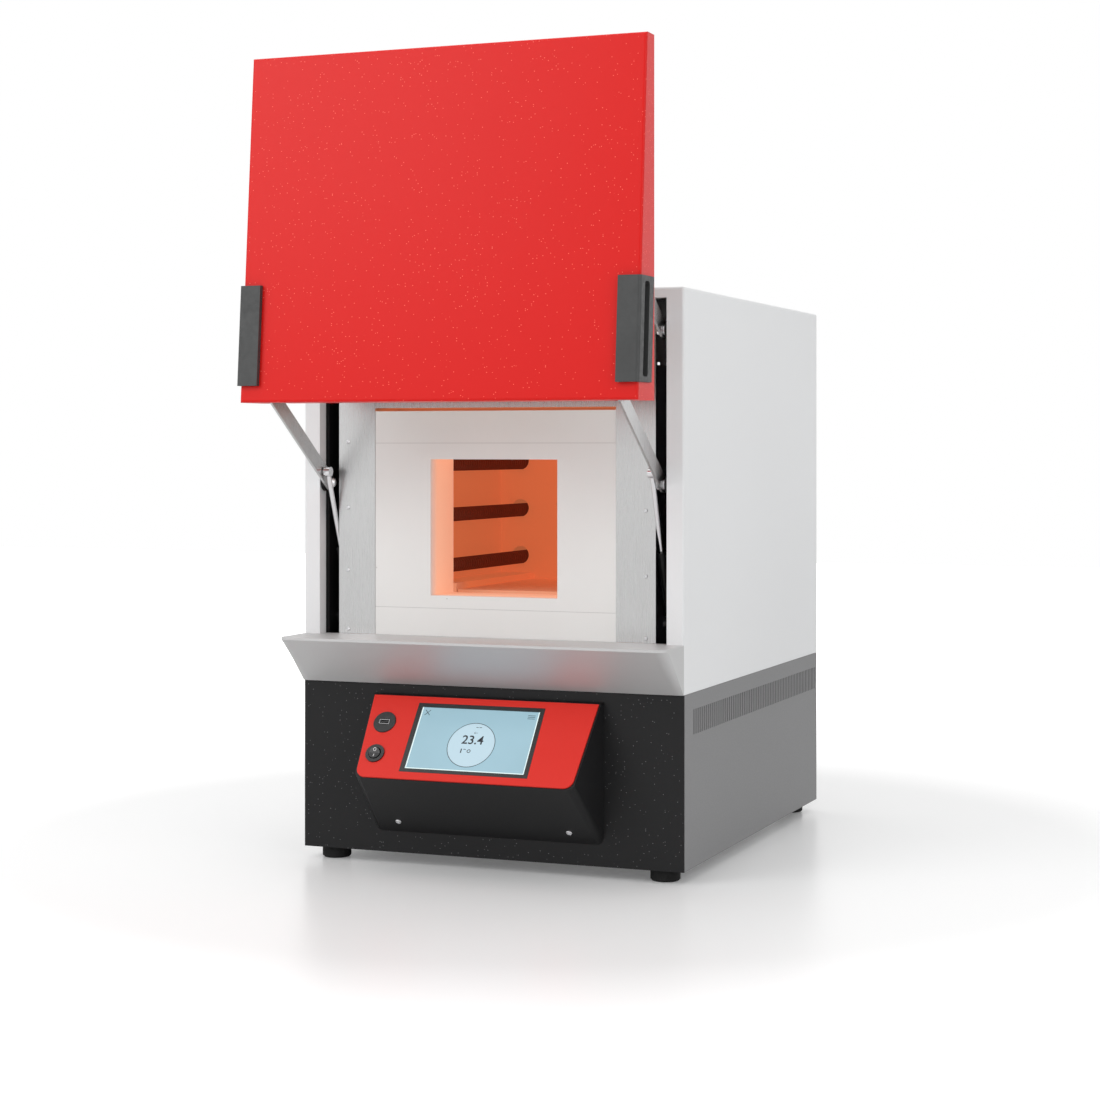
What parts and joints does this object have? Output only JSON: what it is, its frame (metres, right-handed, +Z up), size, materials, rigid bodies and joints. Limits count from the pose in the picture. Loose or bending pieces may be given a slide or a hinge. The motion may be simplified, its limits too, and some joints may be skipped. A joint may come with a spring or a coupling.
{
  "type": "laboratory chamber furnace",
  "caption": "Bench-top laboratory chamber furnace with an up-and-over door on parallel arms and gas struts, rod heating elements, a hearth and a sloped control console.",
  "frame": {"origin": "on the bench below the middle of the outline, with the door raised", "axes": "+Z up, +X to the right of someone facing the furnace, +Y to its back"},
  "size_m": [0.505, 0.7848, 0.98],
  "materials": {
    "case_white": "satin",
    "base_black": "satin",
    "base_grey": "satin",
    "door_red": "gloss",
    "facia_red": "satin",
    "console_black": "matte",
    "handle_plastic": "matte",
    "stainless": "satin",
    "plated_steel": "satin",
    "frame_black": "satin",
    "bright_steel": "gloss",
    "strut_black": "satin",
    "rod_steel": "polished",
    "refractory": "matte",
    "hearth": "matte",
    "element_rod": "matte",
    "flue_ceramic": "matte",
    "clamp_metal": "satin",
    "core_steel": "matte",
    "black_plastic": "satin",
    "screen_glass": "gloss",
    "board_green": "satin",
    "foot_rubber": "matte"
  },
  "bodies": {
    "root": {"back_board": "refractory", "base_front": "base_black", "base_pan": "plated_steel", "base_rear": "base_grey", "base_side_left": "base_grey", "base_side_right": "base_grey", "case_cover": "case_white", "case_rear": "case_white", "chamber_shell": "plated_steel", "console_housing": "console_black", "console_screws": "bright_steel", "controller_board": "board_green", "deck": "plated_steel", "display_bezel": "black_plastic", "display_screen": "screen_glass", "element_clamps": "clamp_metal", "face_plate_left": "stainless", "face_plate_right": "stainless", "face_screws": "bright_steel", "facia": "facia_red", "fan_frame": "black_plastic", "feet": "foot_rubber", "floor_board": "refractory", "flue_collar": "stainless", "flue_tube": "flue_ceramic", "frame_pivots": "bright_steel", "front_board": "refractory", "hearth_tile": "hearth", "heating_elements": "element_rod", "lintel": "stainless", "mains_gland": "black_plastic", "post_left": "frame_black", "post_right": "frame_black", "power_unit": "clamp_metal", "roof_board": "refractory", "side_board_left": "refractory", "side_board_right": "refractory", "sill": "stainless", "strut_studs": "bright_steel", "switch_housing": "black_plastic", "thermocouple": "flue_ceramic", "transformer": "core_steel", "usb_port": "black_plastic"},
    "lower_arms": {"lower_arm_left": "stainless", "lower_arm_right": "stainless"},
    "upper_arms": {"upper_arm_left": "stainless", "upper_arm_right": "stainless"},
    "door": {"door_shell": "door_red", "door_back_panel": "stainless", "door_pad": "refractory", "door_bracket_left": "stainless", "door_bracket_right": "stainless", "door_pivots": "bright_steel", "handle_left": "handle_plastic", "handle_right": "handle_plastic"},
    "strut_cylinders": {"strut_cylinders": "strut_black"},
    "strut_rods": {"strut_rods": "rod_steel"},
    "rocker": {"power_rocker": "black_plastic"},
    "fan": {"fan_rotor": "black_plastic"}
  },
  "joints": [
    {"name": "door_lift", "type": "hinge", "parent": "root", "child": "lower_arms", "pos_m": [0, -0.21162, 0.47], "axis": [1, 0, 0], "range_deg": [0, 108]},
    {"name": "door_level", "type": "hinge", "parent": "lower_arms", "child": "door", "pos_m": [0, -0.35853, 0.57401], "axis": [1, 0, 0], "range_deg": [-108, 0]},
    {"name": "upper_arm_swing", "type": "hinge", "parent": "root", "child": "upper_arms", "pos_m": [0, -0.21162, 0.653], "axis": [1, 0, 0], "range_deg": [0, 108]},
    {"name": "strut_tilt", "type": "hinge", "parent": "root", "child": "strut_cylinders", "pos_m": [0, -0.16362, 0.3], "axis": [1, 0, 0], "range_deg": [0, 0.3738]},
    {"name": "strut_slide", "type": "slide", "parent": "strut_cylinders", "child": "strut_rods", "axis": [0, -0.345, 0.9386], "range_m": [-0.0392, 0]},
    {"name": "power_switch", "type": "hinge", "parent": "root", "child": "rocker", "pos_m": [-0.122, -0.28518, 0.14463], "axis": [1, 0, 0], "range_deg": [-16, 0]},
    {"name": "fan_spin", "type": "hinge", "parent": "root", "child": "fan", "pos_m": [-0.13, 0.37688, 0.119], "axis": [0, 1, 0], "continuous": true}
  ],
  "couplings": [
    {"joint": "door_level", "follows": "door_lift", "ratio": -1},
    {"joint": "upper_arm_swing", "follows": "door_lift", "ratio": 1},
    {"joint": "strut_tilt", "follows": "door_lift", "ratio": 0.0033935},
    {"joint": "strut_slide", "follows": "door_lift", "m_per_rad": -0.020593}
  ]
}
